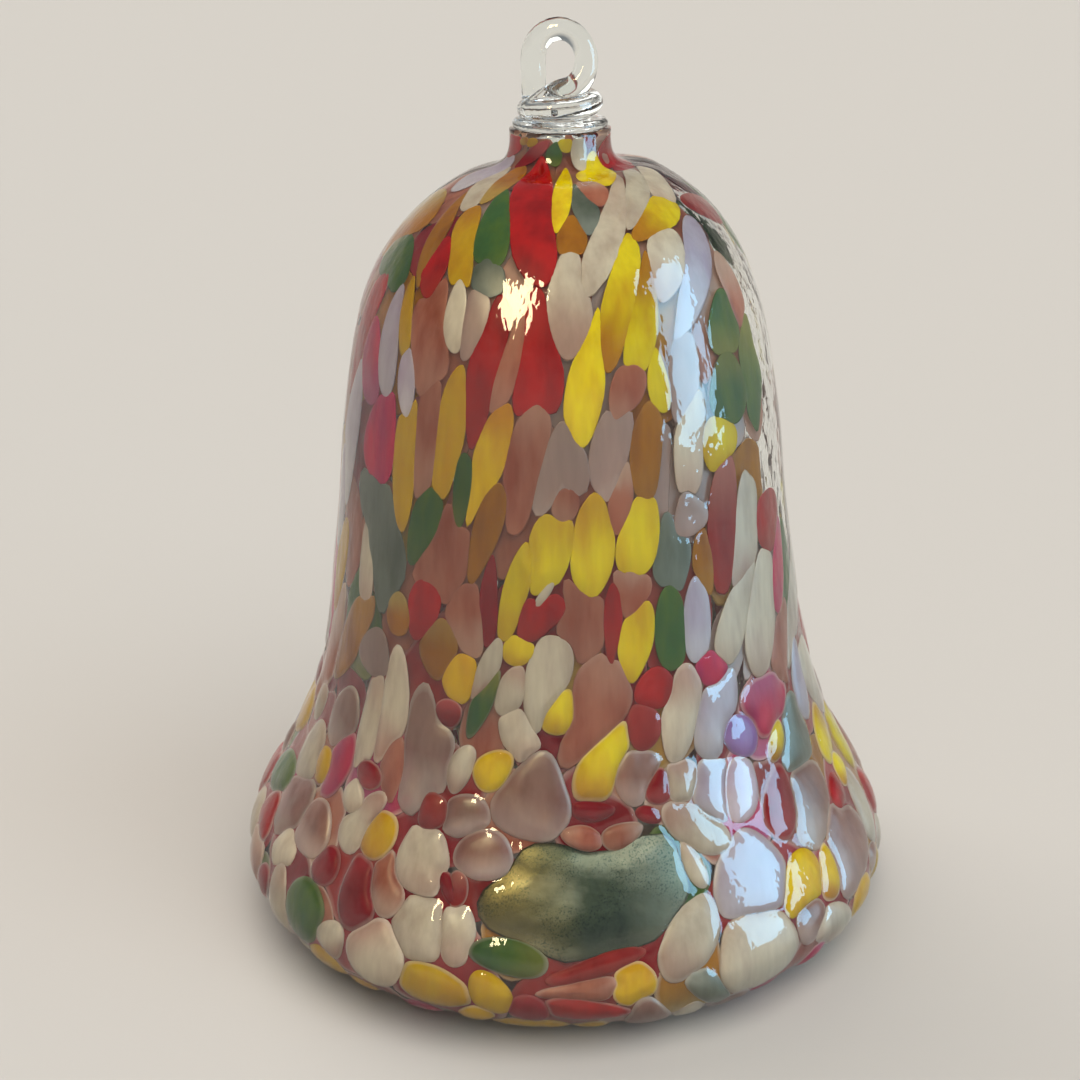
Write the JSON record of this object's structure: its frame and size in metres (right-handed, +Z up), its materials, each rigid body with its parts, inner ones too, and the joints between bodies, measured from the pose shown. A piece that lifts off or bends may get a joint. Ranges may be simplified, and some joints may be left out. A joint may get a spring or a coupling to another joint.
{
  "type": "glass bell ornament",
  "caption": "Hollow blown glass bell with a closed rounded base, fused chips of coloured glass all over, and a clear sealed neck with a curled hanging loop.",
  "frame": {"origin": "centre of the foot, on the surface that the bell stands on", "axes": "+Z up along the bell's axis towards the hanging loop, -Y the front with the large lustrous patch"},
  "size_m": [0.107, 0.107, 0.1457],
  "materials": {
    "clear_glass": "clear, smooth, faint green tint",
    "green_glass": "dark bottle green, glossy",
    "grey_glass": "grey green, glossy",
    "lilac_glass": "pale lilac with an iridescent film",
    "lustre_glass": "grey green with a pitted metallic lustre",
    "magenta_glass": "magenta, glossy",
    "maroon_glass": "dark red, glossy",
    "mauve_glass": "pale translucent mauve, glossy",
    "ochre_glass": "translucent amber yellow, glossy",
    "pink_glass": "dusty pink, semi-opaque, glossy",
    "red_glass": "deep opaque red, glossy",
    "rose_glass": "translucent rose, glossy",
    "white_glass": "opal white, glossy, slightly translucent",
    "yellow_glass": "opaque bright yellow, glossy"
  },
  "bodies": {
    "root": {"bell_shell": "clear_glass", "green_chip_1": "green_glass", "green_chip_2": "green_glass", "green_chip_3": "green_glass", "grey_chip_1": "grey_glass", "hanging_loop": "clear_glass", "lilac_chip_1": "lilac_glass", "lilac_chip_2": "lilac_glass", "lilac_chip_3": "lilac_glass", "lustre_patch": "lustre_glass", "magenta_chip_1": "magenta_glass", "magenta_chip_2": "magenta_glass", "magenta_chip_3": "magenta_glass", "maroon_chip_1": "maroon_glass", "maroon_chip_2": "maroon_glass", "maroon_chip_3": "maroon_glass", "mauve_chip_1": "mauve_glass", "mauve_chip_2": "mauve_glass", "mauve_chip_3": "mauve_glass", "mauve_chip_4": "mauve_glass", "mauve_chip_5": "mauve_glass", "mauve_chip_6": "mauve_glass", "neck_cap": "clear_glass", "neck_wrap": "clear_glass", "ochre_chip_1": "ochre_glass", "pink_chip_1": "pink_glass", "pink_chip_2": "pink_glass", "pink_chip_3": "pink_glass", "pink_chip_4": "pink_glass", "pink_chip_5": "pink_glass", "red_chip_1": "red_glass", "red_chip_2": "red_glass", "red_chip_3": "red_glass", "red_chip_4": "red_glass", "red_chip_5": "red_glass", "red_chip_6": "red_glass", "rose_chip_1": "rose_glass", "white_chip_1": "white_glass", "white_chip_10": "white_glass", "white_chip_2": "white_glass", "white_chip_3": "white_glass", "white_chip_4": "white_glass", "white_chip_5": "white_glass", "white_chip_6": "white_glass", "white_chip_7": "white_glass", "white_chip_8": "white_glass", "white_chip_9": "white_glass", "yellow_chip_1": "yellow_glass", "yellow_chip_10": "yellow_glass", "yellow_chip_11": "yellow_glass", "yellow_chip_12": "yellow_glass", "yellow_chip_2": "yellow_glass", "yellow_chip_3": "yellow_glass", "yellow_chip_4": "yellow_glass", "yellow_chip_5": "yellow_glass", "yellow_chip_6": "yellow_glass", "yellow_chip_7": "yellow_glass", "yellow_chip_8": "yellow_glass", "yellow_chip_9": "yellow_glass"}
  },
  "joints": []
}
